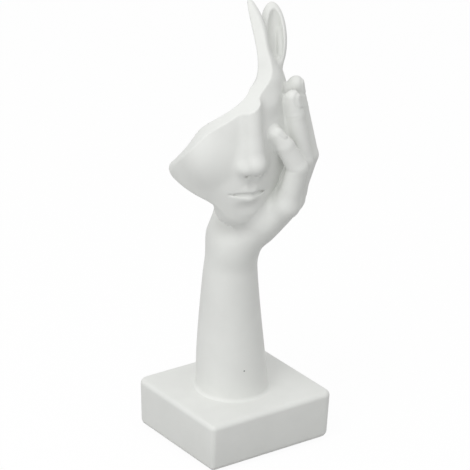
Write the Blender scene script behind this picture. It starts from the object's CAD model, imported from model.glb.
"""Cast-resin table figurine: a hand rises from a plinth and holds half a mask.

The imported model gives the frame, in metres: +Z up, the plinth's front side at -Y. The
castings are sculpted here again at full detail. Their sizes are in millimetres, in the
figure's own frame: x to the figure's right, y to its back, z up from the plinth's top. That
frame is turned on the plinth by FIGURE_TURN.
"""
from __future__ import annotations

import logging
import math
from dataclasses import dataclass
from enum import Enum
from typing import Callable, Sequence

import bmesh
import bpy
import numpy as np
from mathutils import Matrix, Vector

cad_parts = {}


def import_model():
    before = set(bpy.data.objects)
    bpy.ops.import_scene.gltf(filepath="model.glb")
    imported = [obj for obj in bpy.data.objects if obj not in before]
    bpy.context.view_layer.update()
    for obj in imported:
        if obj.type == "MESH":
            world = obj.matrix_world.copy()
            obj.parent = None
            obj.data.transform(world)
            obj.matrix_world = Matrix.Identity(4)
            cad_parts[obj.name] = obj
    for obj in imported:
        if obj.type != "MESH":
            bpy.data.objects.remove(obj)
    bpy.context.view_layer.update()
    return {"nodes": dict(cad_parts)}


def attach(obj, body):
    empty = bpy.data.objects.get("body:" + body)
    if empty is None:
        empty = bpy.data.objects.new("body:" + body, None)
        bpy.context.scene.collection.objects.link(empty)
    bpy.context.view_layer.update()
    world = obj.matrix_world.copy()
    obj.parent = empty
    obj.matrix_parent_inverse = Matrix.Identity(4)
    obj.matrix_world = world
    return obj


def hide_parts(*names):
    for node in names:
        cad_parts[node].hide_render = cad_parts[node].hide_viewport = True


LOG = logging.getLogger("figurine")

Array = np.ndarray
Pair = tuple[float, float]
Point = tuple[float, float, float]
Tone = tuple[float, float, float]
Field = Callable[[Array], Array]
Stations = tuple[Pair, ...]  # place and value

MM = 0.001
FIGURE_TURN = math.radians(-36.3)
PLINTH_TOP = 34.0
WRIST = 102.0  # height over the plinth's top
CHIN = 120.0  # height over the plinth's top
ROD_AXIS = (-3.0, 0.5)  # upright axis of the rod, tenon and socket in the figure's frame
WHITE = (1.0, 1.0, 1.0, 1.0)


class Slot(Enum):
    """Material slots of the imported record, one for each finish."""

    RESIN = "resin"
    FELT = "felt"
    STEEL = "steel"


# Shapes as signed distances in millimetres, negative inside.


def join(a: Array, b: Array, width: float | Array) -> Array:
    """Soft union of two distances.

    Args:
        a: Distances to the first shape.
        b: Distances to the second shape.
        width: Width of the fillet between them.

    Returns:
        Distances to both shapes together.
    """
    h = np.maximum(width - np.abs(a - b), 0.0) / width
    return np.minimum(a, b) - h * h * width * 0.25


def keep(a: Array, b: Array, width: float) -> Array:
    """Soft intersection of two distances.

    Args:
        a: Distances to the first shape.
        b: Distances to the second shape.
        width: Width of the rounding along the edge between them.

    Returns:
        Distances to what both shapes share.
    """
    return -join(-a, -b, width)


def span(v: Array) -> Array:
    """Lengths of vectors along the last axis."""
    return np.sqrt((v * v).sum(-1))


def unit(v: Sequence[float]) -> Array:
    """A vector of length one along v."""
    w = np.asarray(v, float)
    return w / np.linalg.norm(w)


def ramp(x: Array, low: float, high: float) -> Array:
    """Smooth step from 0 at low to 1 at high."""
    t = np.clip((x - low) / (high - low), 0.0, 1.0)
    return t * t * (3.0 - 2.0 * t)


@dataclass(frozen=True)
class RoundCone:
    """A cone with round ends.

    Attributes:
        start: Centre of the first end.
        end: Centre of the second end.
        radii: Radius at each end.
    """

    start: Point
    end: Point
    radii: Pair

    def distance(self, p: Array) -> Array:
        """Signed distances of points.

        Args:
            p: The points.

        Returns:
            One distance for each point.
        """
        a, b = np.asarray(self.start, float), np.asarray(self.end, float)
        r1, r2 = self.radii
        axis = b - a
        l2 = float(axis @ axis)
        dr = r1 - r2
        a2 = l2 - dr * dr
        q = p - a
        y = q @ axis
        z = y - l2
        x2 = ((q * l2 - axis * y[..., None]) ** 2).sum(-1)
        y2, z2 = y * y * l2, z * z * l2
        k = np.sign(dr) * dr * dr * x2
        d = (np.sqrt(np.maximum(x2 * a2 / l2, 0.0)) + y * dr) / l2 - r1
        d = np.where(np.sign(z) * a2 * z2 > k, np.sqrt(x2 + z2) / l2 - r2, d)
        return np.where(np.sign(y) * a2 * y2 < k, np.sqrt(x2 + y2) / l2 - r1, d)


@dataclass(frozen=True)
class Ellipsoid:
    """An ellipsoid, upright unless it leans.

    Attributes:
        centre: Its centre.
        radii: Its three radii.
        lean: Direction of its third axis, if it leans.
    """

    centre: Point
    radii: Point
    lean: Point | None = None

    def distance(self, p: Array) -> Array:
        """Signed distances of points.

        Args:
            p: The points.

        Returns:
            One distance for each point.
        """
        q = p - np.asarray(self.centre, float)
        if self.lean is not None:
            up = unit(self.lean)
            right = unit(np.array([1.0, 0.0, 0.0]) - up * up[0])
            q = q @ np.stack([right, np.cross(up, right), up], 1)
        r = np.asarray(self.radii, float)
        k0 = span(q / r)
        k1 = span(q / (r * r))
        return k0 * (k0 - 1.0) / np.maximum(k1, 1e-9)


@dataclass(frozen=True)
class Curve:
    """A smooth curve of one value against another, constant beyond its ends.

    Attributes:
        stations: Pairs of place and value, in rising order of place.
    """

    stations: Stations

    def at(self, t: Array) -> Array:
        """Values of the curve.

        Args:
            t: The places to look at.

        Returns:
            One value for each place.
        """
        x, v = np.asarray(self.stations, float).T
        slope = np.empty_like(v)
        slope[0] = (v[1] - v[0]) / (x[1] - x[0])
        slope[-1] = (v[-1] - v[-2]) / (x[-1] - x[-2])
        slope[1:-1] = (v[2:] - v[:-2]) / (x[2:] - x[:-2])
        i = np.clip(np.searchsorted(x, t, side="right") - 1, 0, len(x) - 2)
        h = x[i + 1] - x[i]
        s = np.clip((t - x[i]) / h, 0.0, 1.0)
        s2, s3 = s * s, s * s * s
        low = v[i] * (2 * s3 - 3 * s2 + 1) + slope[i] * h * (s3 - 2 * s2 + s)
        return low + v[i + 1] * (3 * s2 - 2 * s3) + slope[i + 1] * h * (s3 - s2)

    def change(self, t: Array) -> Array:
        """How much the value changes over one millimetre round each place."""
        return self.at(t + 0.5) - self.at(t - 0.5)


@dataclass(frozen=True)
class OvalColumn:
    """A column of oval cross-sections.

    Attributes:
        x: Section centres along x, against height.
        y: Section centres along y, against height.
        a: Half widths, against height.
        b: Half depths, against height.
    """

    x: Curve
    y: Curve
    a: Curve
    b: Curve

    def distance(self, p: Array) -> Array:
        """Signed distances of points from the column's side.

        Args:
            p: The points.

        Returns:
            One distance for each point.
        """
        z = p[..., 2]
        a, b = self.a.at(z), self.b.at(z)
        u = (p[..., 0] - self.x.at(z)) / a
        v = (p[..., 1] - self.y.at(z)) / b
        rho = np.sqrt(u * u + v * v) + 1e-9
        return (rho - 1.0) * rho / np.sqrt((u / a) ** 2 + (v / b) ** 2 + 1e-12)


# From a field to a mesh.


@dataclass(frozen=True)
class Sculptor:
    """Meshes a field: one vertex in each grid cell that its surface crosses.

    Attributes:
        cell: Grid step before refinement, in millimetres.
        low: Lowest corner of the space that holds the surface.
        high: Highest corner of that space.
        rounds: Times that the faces are split in four and drawn onto the surface.
        pulls: Steps onto the surface before the first split and after each.
        reach: Longest of these steps, as a share of the grid step.
        probe: Distance over which the field's slope is felt, in millimetres.
        flat: Least square of the slope that a step is worked out with.
        block: Grid steps along the side of a block that is sampled once at first.
        margin: Block widths from the surface within which every point is sampled.
        batch: Points that are sampled at a time.
    """

    cell: float
    low: Point
    high: Point
    rounds: int = 1
    pulls: int = 2
    reach: float = 0.35
    probe: float = 0.04
    flat: float = 0.05
    block: int = 4
    margin: float = 2.0
    batch: int = 200000

    def sculpt(self, shape: Field) -> tuple[Array, Array]:
        """Meshes the zero surface of a field.

        Args:
            shape: Signed distance of points.

        Returns:
            Vertices and four-sided faces.
        """
        verts, faces = self._net(self._sample(shape))
        verts = self._settle(shape, verts)
        for _ in range(self.rounds):
            verts, faces = self._split(verts, faces)
            verts = self._settle(shape, verts)
        return verts, faces

    def _sample(self, shape: Field) -> Array:
        """Distances on the grid, coarse where the surface is far.

        Args:
            shape: Signed distance of points.

        Returns:
            One distance for each grid point.
        """
        h, block = self.cell, self.block
        axes = [np.arange(a, b + h, h) for a, b in zip(self.low, self.high)]
        middles = [a[::block] + (block - 1) / 2 * h for a in axes]
        values = shape(np.stack(np.meshgrid(*middles, indexing="ij"), -1))
        for axis, line in enumerate(axes):
            values = np.repeat(values, block, axis).take(range(len(line)), axis)
        near = np.argwhere(np.abs(values) < self.margin * block * h)
        for part in np.array_split(near, max(1, len(near) // self.batch)):
            points = np.stack([line[i] for line, i in zip(axes, part.T)], -1)
            values[tuple(part.T)] = shape(points)
        return values

    def _net(self, values: Array) -> tuple[Array, Array]:
        """The sampled field's zero surface.

        Args:
            values: One distance for each grid point.

        Returns:
            Vertices and four-sided faces.
        """
        n = values.shape
        total = np.zeros(tuple(m - 1 for m in n) + (3,))
        count = np.zeros(tuple(m - 1 for m in n))

        def side(shift: Sequence[int]) -> tuple[slice, ...]:
            """The cells' corners on one side."""
            return tuple(slice(s, s + m - 1) for s, m in zip(shift, n))

        for axis in range(3):
            others = [c for c in range(3) if c != axis]
            for d1 in (0, 1):
                for d2 in (0, 1):
                    first = [0, 0, 0]
                    first[others[0]], first[others[1]] = d1, d2
                    second = list(first)
                    second[axis] = 1
                    a, b = values[side(first)], values[side(second)]
                    crossed = (a < 0) != (b < 0)
                    place = np.zeros(a.shape + (3,))
                    place[..., axis] = np.where(crossed, a / np.where(crossed, a - b, 1), 0)
                    place[..., others[0]], place[..., others[1]] = d1, d2
                    total += np.where(crossed[..., None], place, 0)
                    count += crossed
        active = count > 0
        index = -np.ones(active.shape, int)
        index[active] = np.arange(active.sum())
        mean = total[active] / count[active][:, None]
        verts = np.asarray(self.low, float) + self.cell * (np.argwhere(active) + mean)
        inside = values < 0
        faces = []
        for axis in range(3):
            others = [c for c in range(3) if c != axis]
            near = [slice(1, m - 1) for m in n]
            near[axis] = slice(0, n[axis] - 1)
            far = list(near)
            far[axis] = slice(1, n[axis])
            s0, s1 = inside[tuple(near)], inside[tuple(far)]
            crossing = s0 != s1
            base = np.argwhere(crossing)
            base[:, others[0]] += 1
            base[:, others[1]] += 1
            corners = []
            for d1, d2 in ((1, 1), (0, 1), (0, 0), (1, 0)):
                cell = base.copy()
                cell[:, others[0]] -= d1
                cell[:, others[1]] -= d2
                corners.append(index[cell[:, 0], cell[:, 1], cell[:, 2]])
            quad = np.stack(corners, 1)
            turn = s0[crossing] if axis != 1 else ~s0[crossing]
            quad[~turn] = quad[~turn][:, ::-1]
            faces.append(quad)
        return verts, np.concatenate(faces)

    def _settle(self, shape: Field, verts: Array) -> Array:
        """Draws vertices onto the surface.

        Args:
            shape: Signed distance of points.
            verts: The vertices.

        Returns:
            The vertices in their new places.
        """
        for _ in range(self.pulls):
            verts = verts + self._pull(shape, verts)
        return verts

    def _pull(self, shape: Field, verts: Array) -> Array:
        """Works out one step of each vertex toward the surface.

        Args:
            shape: Signed distance of points.
            verts: The vertices.

        Returns:
            The steps, none longer than the reach.
        """
        slope, level = np.zeros_like(verts), np.zeros(len(verts))
        ways = np.array(((1, 1, 1), (1, -1, -1), (-1, 1, -1), (-1, -1, 1)), float)
        for way in ways:
            d = shape(verts + self.probe * way)
            slope += d[:, None] * way
            level += d / len(ways)
        slope /= len(ways) * self.probe
        move = -(level / np.maximum((slope * slope).sum(-1), self.flat))[:, None] * slope
        limit = self.reach * self.cell
        return move * np.minimum(1.0, limit / np.maximum(span(move), 1e-9))[:, None]

    @staticmethod
    def _split(verts: Array, faces: Array) -> tuple[Array, Array]:
        """Splits each face in four.

        Args:
            verts: Vertices.
            faces: Four vertex numbers for each face.

        Returns:
            The new vertices and faces.
        """
        ring = np.concatenate([faces[:, [c, (c + 1) % 4]] for c in range(4)])
        ring.sort(1)
        n, m = len(verts), len(faces)
        edges, back = np.unique(ring[:, 0].astype(np.int64) * n + ring[:, 1], return_inverse=True)
        middle = (verts[edges // n] + verts[edges % n]) / 2
        e = (n + back).reshape(4, m)
        centre = n + len(edges) + np.arange(m)
        parts = [np.stack([faces[:, c], e[c], centre, e[c - 1]], 1) for c in range(4)]
        return np.concatenate([verts, middle, verts[faces].mean(1)]), np.concatenate(parts)


def above(p: Array, height: float) -> Array:
    """Points with their heights measured from another level."""
    return p - np.array([0.0, 0.0, height])


def to_row(points: Array) -> Array:
    """Turns millimetres in the figure's frame into metres in the row's frame.

    Args:
        points: Points as rows.

    Returns:
        The turned points as rows.
    """
    c, s = math.cos(FIGURE_TURN), math.sin(FIGURE_TURN)
    x, y, z = points.T
    return np.stack([c * x - s * y, s * x + c * y, z + PLINTH_TOP], 1) * MM


def new_piece(name: str, verts: Array, faces: Array) -> bpy.types.Object:
    """Makes a smooth-shaded object of vertices and four-sided faces.

    Args:
        name: The piece's name.
        verts: Vertices in the row's frame, in metres.
        faces: Four vertex numbers for each face.

    Returns:
        The new object, linked to the scene.
    """
    mesh = bpy.data.meshes.new(name)
    mesh.vertices.add(len(verts))
    mesh.vertices.foreach_set("co", np.ascontiguousarray(verts, np.float32).ravel())
    mesh.loops.add(faces.size)
    mesh.loops.foreach_set("vertex_index", faces.astype(np.int32).ravel())
    mesh.polygons.add(len(faces))
    mesh.polygons.foreach_set("loop_start", np.arange(0, faces.size, 4, dtype=np.int32))
    mesh.update(calc_edges=True)
    mesh.validate()
    mesh.shade_smooth()
    piece = bpy.data.objects.new(name, mesh)
    bpy.context.scene.collection.objects.link(piece)
    return piece


def dress(piece: bpy.types.Object, node: str) -> bpy.types.Object:
    """Puts a piece in the place of a CAD node.

    Args:
        piece: The new piece.
        node: The node that it stands for.

    Returns:
        The piece.
    """
    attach(piece, "root")
    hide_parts(node)
    LOG.info("%s stands for %s: %d faces", piece.name, node, len(piece.data.polygons))
    return piece


# The castings.


@dataclass(frozen=True)
class Nail:
    """A fingernail: a raised plate with a groove round it.

    Attributes:
        along: Distance of its middle from the fingertip's centre, towards the joint.
        half_length: Half its length.
        half_width: Half its width.
        facing: Rough direction that it faces.
        raised: Height of the plate over the skin.
        groove: Depth of the groove.
        square: How square its outline is; 2 is an oval.
        edge: Where the plate starts to fall off, as a share of its size.
        groove_at: Middle of the groove, as a share of the nail's size.
        groove_width: Half width of the groove, as a share of the nail's size.
        side: Heights over the finger's middle between which the relief sets in.
    """

    along: float
    half_length: float
    half_width: float
    facing: Point
    raised: float = 0.22
    groove: float = 0.3
    square: float = 2.8
    edge: float = 0.8
    groove_at: float = 1.1
    groove_width: float = 0.14
    side: Pair = (0.5, 2.0)

    def relief(self, p: Array, joint: Point, tip: Point) -> Array:
        """How much the finger's surface sinks.

        Args:
            p: The points.
            joint: Centre of the finger's end joint.
            tip: Centre of the finger's tip.

        Returns:
            The depth at each point, in millimetres.
        """
        axis = unit(np.asarray(tip, float) - np.asarray(joint, float))
        out = np.asarray(self.facing, float)
        out = unit(out - axis * (out @ axis))
        across = np.cross(out, axis)
        q = p - (np.asarray(tip, float) - axis * self.along)
        u, v, w = q @ across / self.half_width, q @ axis / self.half_length, q @ out
        power = self.square
        rho = (np.abs(u) ** power + np.abs(v) ** power + 1e-9) ** (1 / power)
        front = ramp(w, *self.side)
        plate = ramp(-rho, -1.0, -self.edge) * self.raised
        groove = np.exp(-(((rho - self.groove_at) / self.groove_width) ** 2)) * self.groove
        return front * (groove - plate)


@dataclass(frozen=True)
class Finger:
    """A finger from its knuckle to its tip.

    Attributes:
        joints: Centres of the knuckle, middle joint, end joint and tip.
        radii: Radius at each of these.
        nail: Its nail.
        bend: Width of the blend at the joints.
        crease: Depth of the creases inside its joints.
        crease_width: Half width of a crease.
        crease_reach: How far a crease goes round the joint, in radii of it.
        crease_side: Heights over the joint between which a crease sets in.
    """

    joints: tuple[Point, ...]
    radii: tuple[float, ...]
    nail: Nail
    bend: float = 1.0
    crease: float = 0.22
    crease_width: float = 0.8
    crease_reach: float = 2.2
    crease_side: Pair = (-1.0, 3.0)

    def distance(self, p: Array) -> Array:
        """Signed distances of points.

        Args:
            p: The points.

        Returns:
            One distance for each point.
        """
        bones = zip(self.joints, self.joints[1:], self.radii, self.radii[1:])
        d: Array | None = None
        for a, b, ra, rb in bones:
            bone = RoundCone(a, b, (ra, rb)).distance(p)
            d = bone if d is None else join(d, bone, self.bend)
        d = d + self.nail.relief(p, self.joints[-2], self.joints[-1])
        return d + self._creases(p)

    def _creases(self, p: Array) -> Array:
        """Creases on the inner side of the middle and end joints.

        Args:
            p: The points.

        Returns:
            The depth at each point.
        """
        depth = np.zeros(p.shape[:-1])
        for k in (1, 2):
            before, here, after = (np.asarray(self.joints[k + s], float) for s in (-1, 0, 1))
            run = unit(unit(here - before) + unit(after - here))
            inner = unit(unit(before - here) + unit(after - here))
            q = p - here
            near = np.exp(-((span(q) / (self.crease_reach * self.radii[k])) ** 4))
            side = ramp(q @ inner, *self.crease_side)
            line = np.exp(-(((q @ run) / self.crease_width) ** 2))
            depth += self.crease * near * side * line
        return depth


def digit(joints: Sequence[Point], radii: Sequence[float], facing: Point,
          size: Point) -> Finger:
    """A finger with its nail.

    Args:
        joints: Centres of the knuckle, middle joint, end joint and tip.
        radii: Radius at each of these.
        facing: Rough direction that the nail faces.
        size: The nail's distance from the tip, half length and half width.

    Returns:
        The finger.
    """
    return Finger(tuple(joints), tuple(radii), Nail(*size, facing))


@dataclass(frozen=True)
class FaceBlends:
    """Widths of the blends on the mask, in millimetres."""

    head: float = 14
    cheek: float = 10
    jaw_edge: float = 2
    chin: float = 11
    mouth: float = 7
    nose: float = 5
    nose_tip: float = 5
    nose_wing: float = 3
    nose_body: float = 5
    lips: float = 2.6
    lip_peak: float = 2.4
    lip_line: float = 0.8
    parting: float = 2.0
    under_lip: float = 5
    nostril: float = 1.6
    groove: float = 3.0
    hollow: float = 1.5
    open_back: float = 2.5
    shell_slope: float = 8
    shell_edge: float = 3
    horn_tip: float = 1.5
    horn_foot: float = 5
    horn: float = 10
    horn_side: float = 5
    horn_cut: float = 1.5
    rim: float = 0.7
    rim_low: float = 5
    leaf_hollow: float = 1.3
    leaf_fold: float = 2.2
    leaf_foot: float = 4
    leaf_back: float = 2
    leaf: float = 3


@dataclass
class FaceMask:
    """The half mask, its horn and the leaf behind it. Heights are from the chin.

    Attributes:
        head_height: Height of the whole head that the mask is a part of.
        centre: The head's middle.
        yaw: The head's turn.
        cranium: Upper part of the head.
        lower_head: Lower part of the head.
        cheek: The cheek, the same on both halves.
        chin: The chin.
        wall: The shell's thickness, against height.
        jaw_point: A point on the plane that cuts the open side of the jaw.
        jaw_normal: That plane's normal.
        back: Distance behind the head's middle where the shell ends.
        back_turn: How much further back it ends, for each step to the head's left.
        shell_top: Height of the shell's top.
        slope: Steepness of the shell's top edge, which falls toward the back.
        slope_start: Where that edge has its set height, in front of the head's middle.
        slope_drop: How far the set height is under the shell's top.
        rim_x: Places of the cut rim along x, against height.
        rim_y: Places of the cut rim along y, against height.
        rim_turn: Direction from the rim into the mask, in degrees, against height.
        rim_soft_below: Heights between which the rim's edge goes from soft to sharp.
        horn_stretch: Factor on the horn's distances, which swell where it leans.
        horn_side: How far the horn may stand out past the rim, along x.
        horn_side_drop: How far under the shell's top this limit starts.
        horn: The horn.
        leaf: The leaf's outer shape.
        hollow: What is taken out of the leaf.
        fold: The fold beside the hollow.
        foot: The leaf's foot on the shell.
        blend: Widths of the blends.
        sculptor: What meshes the mask.
    """

    head_height: float = 148.0
    centre: Point = (-14.0, 9.0, 0.0)
    yaw: float = math.radians(27)
    cranium: Ellipsoid = Ellipsoid((1.2, -6, 70), (43.6, 50, 56))
    lower_head: Ellipsoid = Ellipsoid((1.5, 8, 44), (38, 37, 44), (0, -0.139, 0.99))
    cheek: Ellipsoid = Ellipsoid((21, 27, 51), (12, 11, 15))
    chin: Ellipsoid = Ellipsoid((0, 27.5, 13.5), (15, 13.5, 13))
    wall: Curve = Curve(((24, 8), (40, 6), (57, 6.9), (66, 9.2), (74, 9.2), (86, 8)))
    jaw_point: Point = (-14.6, -27.5, 18.9)
    jaw_normal: Point = (0.324, -0.102, 0.941)
    back: float = 7.5
    back_turn: float = 0.1
    shell_top: float = 106.0
    slope: float = 2.2
    slope_start: float = 8.0
    slope_drop: float = 2.0
    rim_x: Curve = Curve(((26, -51.4), (36, -46), (50, -38), (65, -28.2), (73, -19.8),
                          (83.4, -5), (91.2, 4.1), (98, 8.2), (103.6, 8.9), (109.8, 8.4),
                          (120.9, 5.5), (132.3, 1.2), (142, -2.2)))
    rim_y: Curve = Curve(((26, 3), (36, -4), (50, -15), (65, -23), (73, -25.5), (83.4, -24.7),
                          (91.2, -18.8), (98, -13.2), (103.6, -9.8), (109.8, -6.6),
                          (120.9, 1.7), (132.3, 11.4), (142, 19.6)))
    rim_turn: Curve = Curve(((26, 0), (49, 2), (66, 14), (75, 27), (84, 38), (96, 50),
                             (104, 60), (111, 68), (121, 72), (141, 72)))
    rim_soft_below: Pair = (28, 48)
    horn_stretch: float = 0.8
    horn_side: float = 0.4
    horn_side_drop: float = 13.0
    horn: OvalColumn = OvalColumn(
        x=Curve(((84, 13), (92, 14.5), (100, 15), (109, 12.7), (117.1, 10.6), (124.8, 8.6),
                 (133.1, 5.5), (139.8, 2.1))),
        y=Curve(((84, -15), (92, -11), (100, -9.4), (109, -5.1), (117.1, 1), (124.8, 6.5),
                 (133.1, 13), (139.8, 18.4))),
        a=Curve(((84, 5), (92, 6.5), (100, 6.4), (109, 4.6), (117.1, 4.6), (124.8, 4.5),
                 (133.1, 3.7), (139.8, 1.8))),
        b=Curve(((84, 3), (92, 4), (100, 5.4), (109, 6.4), (117.1, 5.6), (124.8, 4.8), (133.1, 3.4),
                 (139.8, 1.9))),
    )
    leaf: Ellipsoid = Ellipsoid((17.8, 16.5, 116.6), (8.5, 5.4, 22.4), (-0.08, 0.515, 0.848))
    hollow: Ellipsoid = Ellipsoid((19.3, 10.6, 119.2), (5.2, 9.2, 19.6), (-0.08, 0.515, 0.857))
    fold: RoundCone = RoundCone((21.4, 21, 119), (22.2, 11, 106), (0.8, 1.5))
    foot: RoundCone = RoundCone((18.5, 5, 93), (19.4, 6.5, 100.5), (4.5, 3.2))
    blend: FaceBlends = FaceBlends()
    sculptor: Sculptor = Sculptor(1.1, (-60, -52, 114), (44, 42, 264))

    @property
    def nose_base(self) -> float:
        """Height of the nose's base: a third of the face."""
        return self.head_height * 7 / 8 / 3

    @property
    def mouth(self) -> float:
        """Height of the mouth: a third of the way from nose base to chin."""
        return self.nose_base * 2 / 3

    @property
    def brow(self) -> float:
        """Height of the brow: two thirds of the face."""
        return 2 * self.nose_base

    def to_head(self, p: Array) -> Array:
        """Turns points into the head's own frame: to its left, out of its face, up.

        Args:
            p: Points with heights from the chin.

        Returns:
            The points in the head's frame.
        """
        c, s = math.cos(self.yaw), math.sin(self.yaw)
        q = p - np.asarray(self.centre, float)
        return np.stack([q[..., 0] * c + q[..., 1] * s, q[..., 0] * s - q[..., 1] * c,
                         p[..., 2]], -1)

    def distance(self, point: Array) -> Array:
        """Signed distances of points.

        Args:
            point: Points with heights from the plinth.

        Returns:
            One distance for each point.
        """
        p = above(point, CHIN)
        q = self.to_head(p)
        m = q.copy()
        m[..., 0] = np.abs(m[..., 0])
        head = join(self.cranium.distance(q), self.lower_head.distance(q), self.blend.head)
        d = self._face(p, q, m, head)
        d = self._opened(p, q, d, head)
        return self._crowned(p, d, head)

    def _face(self, p: Array, q: Array, m: Array, head: Array) -> Array:
        """The head with a calm, plain face.

        Args:
            p: Points with heights from the chin.
            q: The same points in the head's frame.
            m: The same again, both halves of the head folded onto its left.
            head: Distances to the bare head.

        Returns:
            One distance for each point.
        """
        b = self.blend
        d = join(head, self.cheek.distance(m), b.cheek)
        jaw = (p - np.asarray(self.jaw_point, float)) @ np.asarray(self.jaw_normal, float)
        d = keep(d, -jaw, b.jaw_edge)
        d = join(d, self.chin.distance(q), b.chin)
        muzzle = Ellipsoid((0, 34.5, self.mouth + 1), (15, 9.5, 14))
        d = join(d, muzzle.distance(q), b.mouth)
        d = join(d, self._nose(q, m), b.nose)
        d = join(d, self._lips(q, m), b.lips)
        parting = RoundCone((0, 47.6, self.mouth - 0.5), (12.6, 40.6, self.mouth), (1.3, 0.5))
        d = keep(d, -parting.distance(m), b.parting)
        under_lip = Ellipsoid((0, 47.2, self.mouth - 10), (9, 3.6, 3.4))
        d = keep(d, -under_lip.distance(q), b.under_lip)
        nostril = Ellipsoid((3.6, 49.2, self.nose_base - 0.4), (1.9, 3.2, 2.2))
        d = keep(d, -nostril.distance(m), b.nostril)
        groove = RoundCone((0, 49.4, self.nose_base - 2.5), (0, 49.2, self.mouth + 5), (1.6, 2.4))
        return keep(d, -groove.distance(q), b.groove)

    def _nose(self, q: Array, m: Array) -> Array:
        """A straight nose with a round tip.

        Args:
            q: Points in the head's frame.
            m: The same points, both halves of the head folded onto its left.

        Returns:
            One distance for each point.
        """
        base, b = self.nose_base, self.blend
        bridge = RoundCone((0, 42.8, self.brow), (0, 50.4, base + 10), (6.0, 4.8)).distance(q)
        tip = Ellipsoid((0, 52, base + 6.4), (5.4, 5.4, 5.2)).distance(q)
        wing = Ellipsoid((5.7, 47.4, base + 4.4), (3.6, 5, 4.2)).distance(m)
        body = Ellipsoid((0, 44.5, base + 10), (7.4, 8, 15)).distance(q)
        nose = join(join(bridge, tip, b.nose_tip), wing, b.nose_wing)
        return join(nose, body, b.nose_body)

    def _lips(self, q: Array, m: Array) -> Array:
        """Full, closed lips.

        Args:
            q: Points in the head's frame.
            m: The same points, both halves of the head folded onto its left.

        Returns:
            One distance for each point.
        """
        h, b = self.mouth, self.blend
        upper = RoundCone((2.2, 43.2, h + 2.7), (11.6, 38.4, h + 0.6), (3.0, 1.0)).distance(m)
        peak = Ellipsoid((0, 44.4, h + 2.0), (2.8, 2.8, 2.6)).distance(q)
        lower = RoundCone((0, 42.4, h - 4.1), (9.2, 38.9, h - 1.9), (4.2, 1.8)).distance(m)
        return join(join(upper, peak, b.lip_peak), lower, b.lip_line)

    def _opened(self, p: Array, q: Array, d: Array, head: Array) -> Array:
        """Hollows the head from behind and cuts it back behind the horn.

        Args:
            p: Points with heights from the chin.
            q: The same points in the head's frame.
            d: Distances to the head with its face.
            head: Distances to the bare head.

        Returns:
            Distances to the open shell.
        """
        z, b = p[..., 2], self.blend
        d = keep(d, -(head + self.wall.at(z)), b.hollow)
        d = keep(d, -(q[..., 1] + self.back + self.back_turn * q[..., 0]), b.open_back)
        rise = z - self.shell_top + self.slope_drop
        slope = (rise - self.slope * (q[..., 1] - self.slope_start)) / math.hypot(1, self.slope)
        return keep(d, keep(slope, z - self.shell_top, b.shell_slope), b.shell_edge)

    def _crowned(self, p: Array, d: Array, head: Array) -> Array:
        """Adds the horn, cuts the rim and adds the leaf.

        Args:
            p: Points with heights from the chin.
            d: Distances to the open shell.
            head: Distances to the bare head.

        Returns:
            Distances to the whole mask.
        """
        z, b = p[..., 2], self.blend
        low, tip = self.horn.x.stations[0][0], self.horn.x.stations[-1][0]
        horn = keep(self.horn.distance(p) * self.horn_stretch, z - tip, b.horn_tip)
        d = join(d, keep(horn, low - z, b.horn_foot), b.horn)
        x = p[..., 0] - self.rim_x.at(z)
        above_shell = z - self.shell_top + self.horn_side_drop
        d = keep(d, join(-x - self.horn_side, above_shell, b.horn_side), b.horn_cut)
        y = p[..., 1] - self.rim_y.at(z)
        turn = np.radians(self.rim_turn.at(z))
        climb = self.rim_x.change(z) * np.cos(turn) + self.rim_y.change(z) * np.sin(turn)
        rim = (-x * np.cos(turn) - y * np.sin(turn)) / np.sqrt(1 + climb * climb)
        d = keep(d, rim, b.rim + b.rim_low * (1 - ramp(z, *self.rim_soft_below)))
        leaf = keep(self.leaf.distance(p), -self.hollow.distance(p), b.leaf_hollow)
        leaf = join(leaf, self.fold.distance(p), b.leaf_fold)
        leaf = join(leaf, self.foot.distance(p), b.leaf_foot)
        leaf = keep(leaf, -(head + self.wall.at(z)), b.leaf_back)
        return join(d, leaf, b.leaf)

    def build(self) -> bpy.types.Object:
        """Sculpts the mask.

        Returns:
            The mask's object, which stands for its CAD node.
        """
        verts, faces = self.sculptor.sculpt(self.distance)
        piece = new_piece("face_mask_casting", to_row(verts), faces)
        return dress(piece, "face_mask")


@dataclass(frozen=True)
class HandBlends:
    """Widths of the blends on the arm and hand, in millimetres."""

    arm_top: float = 8
    rays: float = 5
    palm: float = 8
    wrist: float = 10
    thumb: float = 5
    web: float = 2.6
    pads: float = 3
    knuckles: float = 5


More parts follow.
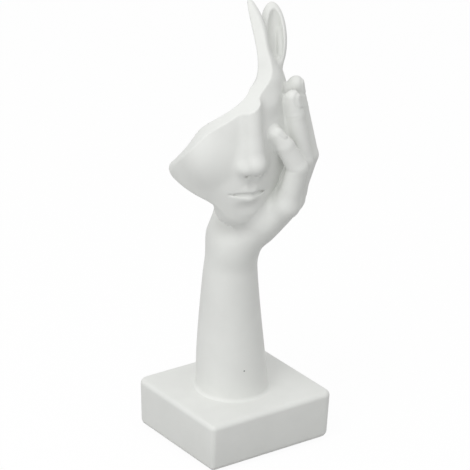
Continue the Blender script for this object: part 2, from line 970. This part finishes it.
@dataclass
class ArmAndHand:
    """The forearm, palm, fingers and thumb, with the tenon under them.

    The forearm's heights are from the plinth, the hand's from the wrist.

    Attributes:
        mask: The mask that the hand grows onto.
        forearm: The forearm.
        rays: The palm's long bones, from the little finger's to the forefinger's.
        palm: The soft parts round them.
        fingers: Forefinger, middle finger, ring finger and little finger.
        thumb: The thumb.
        pads: Soft parts between the fingers and the mask.
        tenon_radius: Radius of the tenon in the plinth.
        tenon_depth: Its depth under the plinth's top.
        tenon_top: How far it reaches up into the forearm.
        tenon_axis: Its axis.
        foot_fillet: Width of the fillet at the forearm's foot.
        foot_fades: Heights between which that fillet fades.
        least_fillet: What is left of it above them.
        back_fillet: Width of the hand's fillet on the mask, at the back.
        palm_fillet: What is added to it at the palm's front.
        palm_fades: Heights between which this part fades.
        finger_fillet: What is added to it at the fingers' front.
        fingers_rise: Heights between which this part sets in.
        fillet_front: Places between which both parts set in, toward the front.
        seat_under_chin: How far under the chin the hand's fillet starts.
        arm_end: How far the forearm reaches over the wrist.
        sunk: How far a fillet's edge lies under the face that carries it.
        flange: How deep its flange goes.
        flange_reach: How far the flange runs on beyond the fillet.
        blend: Widths of the blends.
        sculptor: What meshes the casting.
    """

    mask: FaceMask
    forearm: OvalColumn = OvalColumn(
        x=Curve(((3, -2.2), (25, -3.6), (61, -4.9), (91, -4.9), (113, -2))),
        y=Curve(((0, 0.5), (1, 0.5))),
        a=Curve(((3, 23.7), (25, 22.4), (61, 19.4), (91, 16.9), (113, 15.4))),
        b=Curve(((3, 26), (25, 24.5), (61, 21.5), (91, 19.5), (113, 18))),
    )
    rays: tuple[RoundCone, ...] = (
        RoundCone((-1, -8.5, 0), (28.2, -18.3, 33.5), (8.8, 7.2)),
        RoundCone((-1, -5, 0), (31, -8.5, 35), (9.4, 7.5)),
        RoundCone((-1, 3, 0), (32, 3.5, 35), (9.4, 7.6)),
        RoundCone((-1, 10, 0), (30, 14, 32.5), (9, 7.2)),
    )
    palm: tuple[RoundCone, ...] = (
        RoundCone((-4, -7.5, 1), (14, -16, 20), (8.4, 7.4)),
        RoundCone((15, -10, 13.5), (25, -8, 24.5), (6.2, 7.2)),
        RoundCone((27, -8.5, 41), (28.5, -9.5, 63), (6, 5.2)),
        RoundCone((-9.6, 8, 3), (-8, 17, 14.5), (10.4, 8.6)),
        RoundCone((-3, 0, 3), (14, 0, 19), (10, 8)),
        RoundCone((29.4, -14, 33.5), (31.4, 11, 33.5), (6.2, 7.2)),
    )
    fingers: tuple[Finger, ...] = (
        digit(((31.5, 14, 34), (39.5, 15, 56), (35.5, 15.5, 79), (32.3, 15.5, 92)),
              (6.8, 6, 5.3, 4.6), (1, 0.1, 0.2), (1.6, 5.2, 3.4)),
        digit(((34, 3.5, 36), (42.2, 3.5, 60.6), (35.9, 3.5, 93), (33.2, 3.2, 108.8)),
              (7.8, 6.6, 5.2, 4.5), (1, -0.1, 0.1), (2.6, 4.8, 3.4)),
        digit(((33.4, -8.5, 36), (38.8, -9.5, 61.5), (33.4, -10, 92.3), (31, -10.4, 104.4)),
              (7.2, 6.3, 5.2, 4.6), (1, -0.3, 0.1), (2.8, 4.8, 3.4)),
        digit(((30, -19.3, 35), (35, -20.4, 61), (27, -22, 75.8), (21.5, -22.8, 83.6)),
              (6.8, 6.8, 6, 4.7), (0.8, -0.35, 0.55), (-0.2, 4.8, 3.1)),
    )
    thumb: Finger = digit(((-6, 18, 15), (-8.5, 24, 33), (-7, 26, 51), (-3, 24.5, 64)),
                          (7.8, 6.9, 6.2, 5.3), (-0.6, 0.8, 0.1), (2.0, 6.0, 4.0))
    pads: tuple[RoundCone, ...] = (
        RoundCone((33.5, 4, 72), (30.5, 4, 104), (5.6, 4.2)),
        RoundCone((34.4, -7.5, 74), (30.2, -8.5, 101), (5, 4)),
        RoundCone((32.2, 2.6, 108), (27.4, 1, 104.2), (4.3, 3.4)),
    )
    tenon_radius: float = 12.5
    tenon_depth: float = 12.0
    tenon_top: float = 8.0
    tenon_axis: Pair = ROD_AXIS
    foot_fillet: float = 3.2
    foot_fades: Pair = (8, 20)
    least_fillet: float = 0.1
    back_fillet: float = 1.0
    palm_fillet: float = 8.0
    palm_fades: Pair = (134, 150)
    finger_fillet: float = 3.5
    fingers_rise: Pair = (166, 176)
    fillet_front: Pair = (-10, 0)
    seat_under_chin: float = 12.0
    arm_end: float = 9.0
    sunk: float = 0.3
    flange: float = 2.0
    flange_reach: float = 1.0
    blend: HandBlends = HandBlends()
    sculptor: Sculptor = Sculptor(1.2, (-36, -37, -16), (53, 38, 222))

    def distance(self, p: Array) -> Array:
        """Signed distances of points, before the casting is seated.

        Args:
            p: The points.

        Returns:
            One distance for each point.
        """
        z, b = p[..., 2], self.blend
        arm = keep(self.forearm.distance(p), z - WRIST - self.arm_end, b.arm_top)
        w = above(p, WRIST)
        rays: Array | None = None
        for ray in self.rays:
            d = ray.distance(w)
            rays = d if rays is None else join(rays, d, b.rays)
        for mass in self.palm:
            rays = join(rays, mass.distance(w), b.palm)
        d = join(arm, rays, b.wrist)
        d = join(d, self.thumb.distance(w), b.thumb)
        spread: Array | None = None
        for finger in self.fingers:
            f = finger.distance(w)
            spread = f if spread is None else join(spread, f, b.web)
        for pad in self.pads:
            spread = join(spread, pad.distance(w), b.pads)
        return join(d, spread, b.knuckles)

    def grown(self, d: Array, host: Array, width: Array) -> Array:
        """Lets a shape grow softly onto a host.

        Beyond the fillet a thin flange runs on, sunk under the host's face, so that the
        fillet has no loose edge.

        Args:
            d: Distances to the shape.
            host: Distances to what carries it.
            width: Width of the fillet.

        Returns:
            Distances to the shape with its fillet and flange.
        """
        soft = join(d, host + self.sunk, width)
        return np.maximum(np.maximum(soft, d - width - self.flange_reach), -host - self.flange)

    def seated(self, p: Array) -> Array:
        """The hand grown onto the mask, and the forearm onto the plinth over its tenon.

        Args:
            p: The points.

        Returns:
            One distance for each point.
        """
        z = p[..., 2]
        d = self.distance(p)
        high = z > CHIN - self.seat_under_chin
        if high.any():
            q = p[high]
            front = ramp(-q[..., 1], *self.fillet_front)
            low = 1 - ramp(q[..., 2], *self.palm_fades)
            top = ramp(q[..., 2], *self.fingers_rise)
            width = self.back_fillet + front * (self.palm_fillet * low + self.finger_fillet * top)
            d[high] = self.grown(d[high], self.mask.distance(q), width)
        fillet = self.foot_fillet * (1 - ramp(z, *self.foot_fades)) + self.least_fillet
        foot = self.grown(d, z, fillet)
        reach = np.hypot(p[..., 0] - self.tenon_axis[0], p[..., 1] - self.tenon_axis[1])
        ends = np.maximum(-self.tenon_depth - z, z - self.tenon_top)
        return np.minimum(foot, np.maximum(reach - self.tenon_radius, ends))

    def build(self) -> bpy.types.Object:
        """Sculpts the arm and hand.

        Returns:
            The casting's object, which stands for its CAD node.
        """
        verts, faces = self.sculptor.sculpt(self.seated)
        piece = new_piece("arm_and_hand_casting", to_row(verts), faces)
        return dress(piece, "arm_and_hand")


@dataclass
class Plinth:
    """The square plinth with its socket on top and its recess underneath.

    Attributes:
        width: Its width, along x.
        depth: Its depth, along y.
        floor: Height of its underside.
        height: Height of its top.
        corners: Radius of each corner, counterclockwise from the one at +X and +Y.
        top_edge: Radius of the upper edges.
        bottom_edge: Radius of the lower edges.
        draft: How far the sides lean in toward the underside.
        least_corner: Least radius that a corner keeps where it is inset.
        sharp_over: Angle over which an edge is shaded sharp.
        steps: Parts of a quarter turn.
        socket_radius: Radius of the tenon's socket.
        socket_floor: Height of its floor.
        bore_radius: Radius of the rod's bore.
        recess_radius: Radius of the recess underneath.
        recess_ceiling: Height of its ceiling.
        axis: Axis of the socket, bore and recess.
    """

    width: float = 97.2
    depth: float = 87.5
    floor: float = 1.1
    height: float = PLINTH_TOP
    corners: tuple[float, ...] = (7.2, 7.2, 4.0, 7.2)
    top_edge: float = 3.3
    bottom_edge: float = 4.0
    draft: float = 1.3
    least_corner: float = 0.6
    sharp_over: float = math.radians(28)
    steps: int = 10
    socket_radius: float = 12.8
    socket_floor: float = PLINTH_TOP - 12.3
    bore_radius: float = 3.3
    recess_radius: float = 11.0
    recess_ceiling: float = 13.5
    axis: Pair = ROD_AXIS

    def _ring(self, bm: bmesh.types.BMesh, z: float, inset: float) -> list[bmesh.types.BMVert]:
        """Adds a rounded rectangle of vertices.

        Args:
            bm: The mesh to add to.
            z: Its height.
            inset: How far it lies inside the plinth's outline.

        Returns:
            The new vertices, in order.
        """
        inset += self.draft * (1 - z / self.height)
        ring = []
        for q, (sx, sy) in enumerate(((1, 1), (-1, 1), (-1, -1), (1, -1))):
            r = max(self.corners[q] - inset, self.least_corner)
            for s in range(self.steps + 1):
                a = (q + s / self.steps) * math.pi / 2
                ring.append(bm.verts.new((
                    (sx * (self.width / 2 - inset - r) + r * math.cos(a)) * MM,
                    (sy * (self.depth / 2 - inset - r) + r * math.sin(a)) * MM, z * MM)))
        return ring

    def _levels(self) -> list[Pair]:
        """Rounds the bottom and top edges.

        Returns:
            Heights and insets from the bottom edge to the top edge.
        """
        turn = [i / self.steps * math.pi / 2 for i in range(self.steps + 1)]
        low = [(self.floor + self.bottom_edge * (1 - math.cos(a)),
                self.bottom_edge * (1 - math.sin(a))) for a in turn]
        high = [(self.height - self.top_edge * (1 - math.cos(a)),
                 self.top_edge * (1 - math.sin(a))) for a in reversed(turn)]
        return low + high

    def _bore(self, bm: bmesh.types.BMesh) -> list[list[bmesh.types.BMVert]]:
        """Adds the rings of the socket, the rod's bore and the recess.

        Args:
            bm: The mesh to add to.

        Returns:
            The rings, from the top down.
        """
        c, s = math.cos(FIGURE_TURN), math.sin(FIGURE_TURN)
        cx = c * self.axis[0] - s * self.axis[1]
        cy = s * self.axis[0] + c * self.axis[1]
        profile = ((self.socket_radius, self.height), (self.socket_radius, self.socket_floor),
                   (self.bore_radius, self.socket_floor), (self.bore_radius, self.recess_ceiling),
                   (self.recess_radius, self.recess_ceiling), (self.recess_radius, self.floor))
        sides = 4 * (self.steps + 1)
        return [[bm.verts.new(((cx + r * math.cos(a)) * MM, (cy + r * math.sin(a)) * MM, z * MM))
                 for a in (2 * math.pi * i / sides for i in range(sides))] for r, z in profile]

    def build(self) -> bpy.types.Object:
        """Builds the plinth.

        Returns:
            The plinth's object, which stands for its CAD node.
        """
        bm = bmesh.new()
        rings = [self._ring(bm, z, inset) for z, inset in self._levels()]
        rings += self._bore(bm)
        rings.append(rings[0])
        n = len(rings[0])
        for ring, following in zip(rings, rings[1:]):
            for i in range(n):
                j = (i + 1) % n
                bm.faces.new((ring[i], ring[j], following[j], following[i]))
        bmesh.ops.recalc_face_normals(bm, faces=bm.faces)
        mesh = bpy.data.meshes.new("plinth_casting")
        bm.to_mesh(mesh)
        bm.free()
        mesh.shade_smooth()
        mesh.set_sharp_from_angle(angle=self.sharp_over)
        piece = bpy.data.objects.new("plinth_casting", mesh)
        bpy.context.scene.collection.objects.link(piece)
        return dress(piece, "plinth")


# Finishes.


@dataclass(frozen=True)
class Noise:
    """Noise over an object.

    Attributes:
        scale: Cycles per metre.
        detail: Finer octaves.
        rough: Weight of the finer octaves.
        spread: Values between which it turns one tone into another.
    """

    scale: float
    detail: float
    rough: float = 0.5
    spread: Pair = (0.3, 0.7)


@dataclass(frozen=True)
class Relief:
    """Bumps too fine for the mesh.

    Attributes:
        height: Height of the full bump, in metres.
        strength: Share of it that shows.
    """

    height: float
    strength: float


def grey(level: float) -> Tone:
    """A tone without colour."""
    return (level,) * 3


class Nodes:
    """A material's node tree with short calls to add to it."""

    def __init__(self, name: str) -> None:
        """Starts a material with a principled shader.

        Args:
            name: The material's name.
        """
        self.material = bpy.data.materials.new(name)
        self.material.use_nodes = True
        self.tree = self.material.node_tree
        self.shader = self.tree.nodes["Principled BSDF"]
        self.place = self.tree.nodes.new("ShaderNodeTexCoord").outputs["Object"]

    def add(self, kind: str, **values: object) -> bpy.types.Node:
        """Adds a node.

        Args:
            kind: The node's type.
            **values: Properties to set on it.

        Returns:
            The node.
        """
        node = self.tree.nodes.new(kind)
        for key, value in values.items():
            setattr(node, key, value)
        return node

    def link(self, a: bpy.types.NodeSocket, b: bpy.types.NodeSocket) -> None:
        """Links an output to an input."""
        self.tree.links.new(a, b)

    def noise(self, kind: Noise) -> bpy.types.NodeSocket:
        """Adds noise over the object.

        Args:
            kind: The noise's scale, octaves and weight.

        Returns:
            The noise's value.
        """
        node = self.add("ShaderNodeTexNoise")
        node.inputs["Scale"].default_value = kind.scale
        node.inputs["Detail"].default_value = kind.detail
        node.inputs["Roughness"].default_value = kind.rough
        self.link(self.place, node.inputs["Vector"])
        return node.outputs["Fac"]

    def tones(self, factor: bpy.types.NodeSocket, spread: Pair, low: Tone,
              high: Tone) -> bpy.types.NodeSocket:
        """Adds a turn from one tone to another.

        Args:
            factor: What the turn depends on.
            spread: Values of the factor between which it happens.
            low: The tone under them.
            high: The tone over them.

        Returns:
            The colour.
        """
        node = self.add("ShaderNodeValToRGB")
        for element, place, tone in zip(node.color_ramp.elements, spread, (low, high)):
            element.position = place
            element.color = (*tone, 1.0)
        self.link(factor, node.inputs["Fac"])
        return node.outputs["Color"]

    def bump(self, height: bpy.types.NodeSocket, relief: Relief,
             under: bpy.types.NodeSocket | None = None) -> bpy.types.NodeSocket:
        """Adds a bumped normal.

        Args:
            height: The bumps' height, from 0 to 1.
            relief: The bumps' full height and its share that shows.
            under: A normal that the bumps lie on.

        Returns:
            The normal.
        """
        node = self.add("ShaderNodeBump")
        node.inputs["Strength"].default_value = relief.strength
        node.inputs["Distance"].default_value = relief.height
        self.link(height, node.inputs["Height"])
        if under is not None:
            self.link(under, node.inputs["Normal"])
        return node.outputs["Normal"]


@dataclass(frozen=True)
class CastResin:
    """Matt white cast resin: faint clouding, a fine mould texture and one pinhole.

    Attributes:
        light: Colour of the lighter clouds.
        dark: Colour of the darker clouds.
        clouds: Noise of the clouding.
        roughness: Lowest and highest roughness.
        patches: Noise of the roughness.
        gloss: Specular level.
        pinhole: Place of the pinhole, in the figure's frame.
        pinhole_radius: Its radius, in millimetres.
        pinhole_edge: Where it starts and stops fading, in radii.
        pinhole_tone: Share of the colour that is left in it.
        waves: Noise of the slow waves.
        wave_relief: Their relief.
        grain: Noise of the fine grain.
        grain_relief: Its relief.
    """

    light: Tone = (0.81, 0.82, 0.795)
    dark: Tone = (0.775, 0.785, 0.76)
    clouds: Noise = Noise(28, 4, 0.55, (0.35, 0.65))
    roughness: Pair = (0.5, 0.62)
    patches: Noise = Noise(190, 3)
    gloss: float = 0.4
    pinhole: Point = (5.6, -22.0, 20.8)
    pinhole_radius: float = 0.55
    pinhole_edge: Pair = (0.6, 1.4)
    pinhole_tone: float = 0.25
    waves: Noise = Noise(60, 2)
    wave_relief: Relief = Relief(0.0004, 0.25)
    grain: Noise = Noise(1400, 2, 0.6)
    grain_relief: Relief = Relief(0.00005, 0.5)

    def material(self) -> bpy.types.Material:
        """Builds the material.

        Returns:
            The material.
        """
        n = Nodes("cast_resin")
        clouded = n.tones(n.noise(self.clouds), self.clouds.spread, self.dark, self.light)
        reach = n.add("ShaderNodeVectorMath", operation="DISTANCE")
        n.link(n.place, reach.inputs[0])
        reach.inputs[1].default_value = to_row(np.array([self.pinhole]))[0]
        depth = n.add("ShaderNodeMapRange", interpolation_type="SMOOTHSTEP")
        n.link(reach.outputs["Value"], depth.inputs["Value"])
        for end, share in zip(("From Min", "From Max"), self.pinhole_edge):
            depth.inputs[end].default_value = self.pinhole_radius * MM * share
        pitted = n.add("ShaderNodeMix", data_type="RGBA", blend_type="MULTIPLY")
        pitted.inputs["Factor"].default_value = 1.0
        n.link(clouded, pitted.inputs["A"])
        pit = n.tones(depth.outputs["Result"], (0, 1), grey(self.pinhole_tone), grey(1.0))
        n.link(pit, pitted.inputs["B"])
        n.link(pitted.outputs["Result"], n.shader.inputs["Base Color"])
        rough = n.tones(n.noise(self.patches), self.patches.spread, *map(grey, self.roughness))
        n.link(rough, n.shader.inputs["Roughness"])
        n.shader.inputs["Specular IOR Level"].default_value = self.gloss
        waves = n.bump(n.noise(self.waves), self.wave_relief)
        grain = n.bump(n.noise(self.grain), self.grain_relief, waves)
        n.link(grain, n.shader.inputs["Normal"])
        return n.material


@dataclass(frozen=True)
class PressedFelt:
    """Dark grey felt with short tangled fibres.

    Attributes:
        light: Colour of the fibres on top.
        dark: Colour between them.
        roughness: Its roughness.
        sheen: Weight of its sheen.
        fibres: Noise of the fibres.
        relief: Their relief.
    """

    light: Tone = (0.045, 0.05, 0.048)
    dark: Tone = (0.018, 0.02, 0.019)
    roughness: float = 0.95
    sheen: float = 0.3
    fibres: Noise = Noise(2600, 5, 0.7, (0.35, 0.7))
    relief: Relief = Relief(0.0003, 0.8)

    def material(self) -> bpy.types.Material:
        """Builds the material.

        Returns:
            The material.
        """
        n = Nodes("pressed_felt")
        fibre = n.noise(self.fibres)
        colour = n.tones(fibre, self.fibres.spread, self.dark, self.light)
        n.link(colour, n.shader.inputs["Base Color"])
        n.shader.inputs["Roughness"].default_value = self.roughness
        n.shader.inputs["Sheen Weight"].default_value = self.sheen
        n.link(n.bump(fibre, self.relief), n.shader.inputs["Normal"])
        return n.material


@dataclass(frozen=True)
class ZincSteel:
    """Bright zinc-plated steel with faint drawing marks.

    Attributes:
        tone: Colour of the lighter patches.
        shade: Share of it that the darker patches have.
        patches: Noise of the patches.
        relief: Their relief.
        roughness: Lowest and highest roughness.
        marks: Noise of the roughness.
    """

    tone: Tone = (0.36, 0.38, 0.4)
    shade: float = 0.8
    patches: Noise = Noise(700, 3)
    relief: Relief = Relief(0.00005, 0.4)
    roughness: Pair = (0.3, 0.45)
    marks: Noise = Noise(2400, 2)

    def material(self) -> bpy.types.Material:
        """Builds the material.

        Returns:
            The material.
        """
        n = Nodes("zinc_steel")
        patches = n.noise(self.patches)
        darker = tuple(self.shade * c for c in self.tone)
        colour = n.tones(patches, self.patches.spread, darker, self.tone)
        n.link(colour, n.shader.inputs["Base Color"])
        n.shader.inputs["Metallic"].default_value = 1.0
        rough = n.tones(n.noise(self.marks), self.marks.spread, *map(grey, self.roughness))
        n.link(rough, n.shader.inputs["Roughness"])
        n.link(n.bump(patches, self.relief), n.shader.inputs["Normal"])
        return n.material


# The studio.


@dataclass(frozen=True)
class Softbox:
    """A round lamp with a soft light, aimed at the figurine.

    Attributes:
        name: Its name.
        place: Its centre, in metres.
        size: Its diameter, in metres.
        power: Its power, in watts.
    """

    name: str
    place: Point
    size: float
    power: float

    def hang(self, target: Vector) -> None:
        """Hangs the lamp.

        Args:
            target: The point that it is aimed at.
        """
        data = bpy.data.lights.new(self.name, "AREA")
        data.shape, data.size, data.energy = "DISK", self.size, self.power
        lamp = bpy.data.objects.new(self.name, data)
        at = Vector(self.place)
        aim = (target - at).to_track_quat("-Z", "Y")
        lamp.matrix_world = Matrix.Translation(at) @ aim.to_matrix().to_4x4()
        bpy.context.scene.collection.objects.link(lamp)


@dataclass
class Studio:
    """Camera, white surroundings and soft lamps.

    Attributes:
        look_at: Point that camera and lamps are aimed at, in metres.
        distance: From that point to the camera.
        azimuth: The camera's turn from the front.
        elevation: Its rise over the horizon.
        roll: Its tilt to one side.
        lens: Its focal length, in millimetres.
        sensor: Its sensor's width, in millimetres.
        picture: Width of its picture, in pixels.
        shift: Its shift, in pixels.
        far: End of its view, in metres.
        ambient: Strength of the surroundings as light.
        bounce: Brightness of the floor as light.
        floor_glow: Share of the floor that is plain white where it is seen.
        floor_roughness: Roughness of the floor.
        floor_gloss: Specular level of the floor.
        floor_size: Width of the floor, in metres.
        floor_drop: How far the floor lies under the felt, in metres.
        lamps: The softboxes.
    """

    look_at: Point = (0.0, 0.0, 0.1658)
    distance: float = 1.8119
    azimuth: float = math.radians(-36.3)
    elevation: float = math.radians(22.7)
    roll: float = 0.029
    lens: float = 217.4
    sensor: float = 36.0
    picture: int = 470
    shift: Pair = (-5.39, -35.8)
    far: float = 50.0
    ambient: float = 0.7
    bounce: float = 0.45
    floor_glow: float = 0.95
    floor_roughness: float = 0.9
    floor_gloss: float = 0.1
    floor_size: float = 6.0
    floor_drop: float = 0.0002
    lamps: tuple[Softbox, ...] = (
        Softbox("key_softbox", (-0.65, -0.33, 1.36), 0.9, 5.5),
        Softbox("left_softbox", (-1.35, -0.55, 0.55), 1.0, 3.6),
    )

    def camera(self) -> bpy.types.Object:
        """Places the camera at the photograph's viewing angle.

        Returns:
            The camera.
        """
        data = bpy.data.cameras.new("camera")
        data.lens, data.sensor_width = self.lens, self.sensor
        data.shift_x, data.shift_y = (move / self.picture for move in self.shift)
        data.clip_end = self.far
        camera = bpy.data.objects.new("camera", data)
        flat = math.cos(self.elevation)
        back = Vector((math.sin(self.azimuth) * flat, -math.cos(self.azimuth) * flat,
                       math.sin(self.elevation)))
        target = Vector(self.look_at)
        aim = (-back).to_track_quat("-Z", "Y").to_matrix().to_4x4()
        camera.matrix_world = (Matrix.Translation(target + back * self.distance) @ aim
                               @ Matrix.Rotation(self.roll, 4, "Z"))
        bpy.context.scene.collection.objects.link(camera)
        bpy.context.scene.camera = camera
        return camera

    @staticmethod
    def shown(tree: bpy.types.NodeTree) -> bpy.types.NodeSocket:
        """Tells the rays that show the background: the camera's, gloss and glass.

        Args:
            tree: The node tree to add to.

        Returns:
            The factor's socket.
        """
        path = tree.nodes.new("ShaderNodeLightPath")
        factor = path.outputs["Is Camera Ray"]
        for ray in ("Is Glossy Ray", "Is Transmission Ray"):
            either = tree.nodes.new("ShaderNodeMath")
            either.operation = "MAXIMUM"
            tree.links.new(factor, either.inputs[0])
            tree.links.new(path.outputs[ray], either.inputs[1])
            factor = either.outputs[0]
        return factor

    def surroundings(self) -> None:
        """White world: plain white to the camera, softer as light."""
        world = bpy.data.worlds.new("studio")
        bpy.context.scene.world = world
        world.use_nodes = True
        tree = world.node_tree
        shade = tree.nodes["Background"]
        shade.inputs["Color"].default_value = WHITE
        shade.inputs["Strength"].default_value = self.ambient
        white = tree.nodes.new("ShaderNodeBackground")
        mix = tree.nodes.new("ShaderNodeMixShader")
        tree.links.new(self.shown(tree), mix.inputs["Fac"])
        tree.links.new(shade.outputs[0], mix.inputs[1])
        tree.links.new(white.outputs[0], mix.inputs[2])
        white.inputs["Color"].default_value = WHITE
        tree.links.new(mix.outputs[0], tree.nodes["World Output"].inputs["Surface"])

    def floor(self) -> bpy.types.Object:
        """A floor that shows white, keeps a soft shadow and lights little.

        Returns:
            The floor.
        """
        bpy.ops.mesh.primitive_plane_add(size=self.floor_size, location=(0, 0, -self.floor_drop))
        floor = bpy.context.object
        floor.name = "studio_floor"
        material = bpy.data.materials.new("studio_floor")
        material.use_nodes = True
        tree = material.node_tree
        shader = tree.nodes["Principled BSDF"]
        shader.inputs["Roughness"].default_value = self.floor_roughness
        shader.inputs["Specular IOR Level"].default_value = self.floor_gloss
        glow = tree.nodes.new("ShaderNodeEmission")
        shown = self.shown(tree)
        tone = tree.nodes.new("ShaderNodeMix")
        tone.data_type = "RGBA"
        tone.inputs["A"].default_value = (*grey(self.bounce), 1)
        tone.inputs["B"].default_value = WHITE
        part = tree.nodes.new("ShaderNodeMath")
        part.operation = "MULTIPLY"
        part.inputs[1].default_value = self.floor_glow
        mix = tree.nodes.new("ShaderNodeMixShader")
        tree.links.new(shown, tone.inputs["Factor"])
        tree.links.new(tone.outputs["Result"], shader.inputs["Base Color"])
        tree.links.new(shown, part.inputs[0])
        tree.links.new(part.outputs[0], mix.inputs["Fac"])
        tree.links.new(shader.outputs[0], mix.inputs[1])
        tree.links.new(glow.outputs[0], mix.inputs[2])
        tree.links.new(mix.outputs[0], tree.nodes["Material Output"].inputs["Surface"])
        floor.data.materials.append(material)
        return floor

    def light(self) -> None:
        """Hangs the softboxes round the figurine."""
        for lamp in self.lamps:
            lamp.hang(Vector(self.look_at))

    def build(self) -> None:
        """Sets up the studio."""
        self.camera()
        self.surroundings()
        self.floor()
        self.light()
        bpy.context.scene.view_settings.view_transform = "Standard"


def paint(piece: bpy.types.Object, material: bpy.types.Material) -> None:
    """Gives a piece its material."""
    piece.data.materials.clear()
    piece.data.materials.append(material)


def corners(box: tuple[Vector, Vector]) -> list[list[float]]:
    """A box as plain lists of numbers."""
    return [[float(c) for c in corner] for corner in box]


def main() -> None:
    """Builds the studio and the figurine, and reports each piece."""
    logging.basicConfig(level=logging.INFO, format="%(name)s: %(message)s")
    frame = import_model()
    Studio().build()
    finishes = {Slot.RESIN: CastResin().material(), Slot.FELT: PressedFelt().material(),
                Slot.STEEL: ZincSteel().material()}
    mask = FaceMask()
    for part in (Plinth(), mask, ArmAndHand(mask)):
        paint(part.build(), finishes[Slot.RESIN])
    for node in ("arm_rod", "rod_washer", "rod_nut", "chin_pin_front", "chin_pin_rear"):
        paint(frame["nodes"][node], finishes[Slot.STEEL])
        LOG.info("%s keeps its solid", node)
    paint(frame["nodes"]["base_felt"], finishes[Slot.FELT])
    LOG.info("base_felt keeps its solid")
    bpy.context.view_layer.update()


if __name__ == "__main__":
    main()
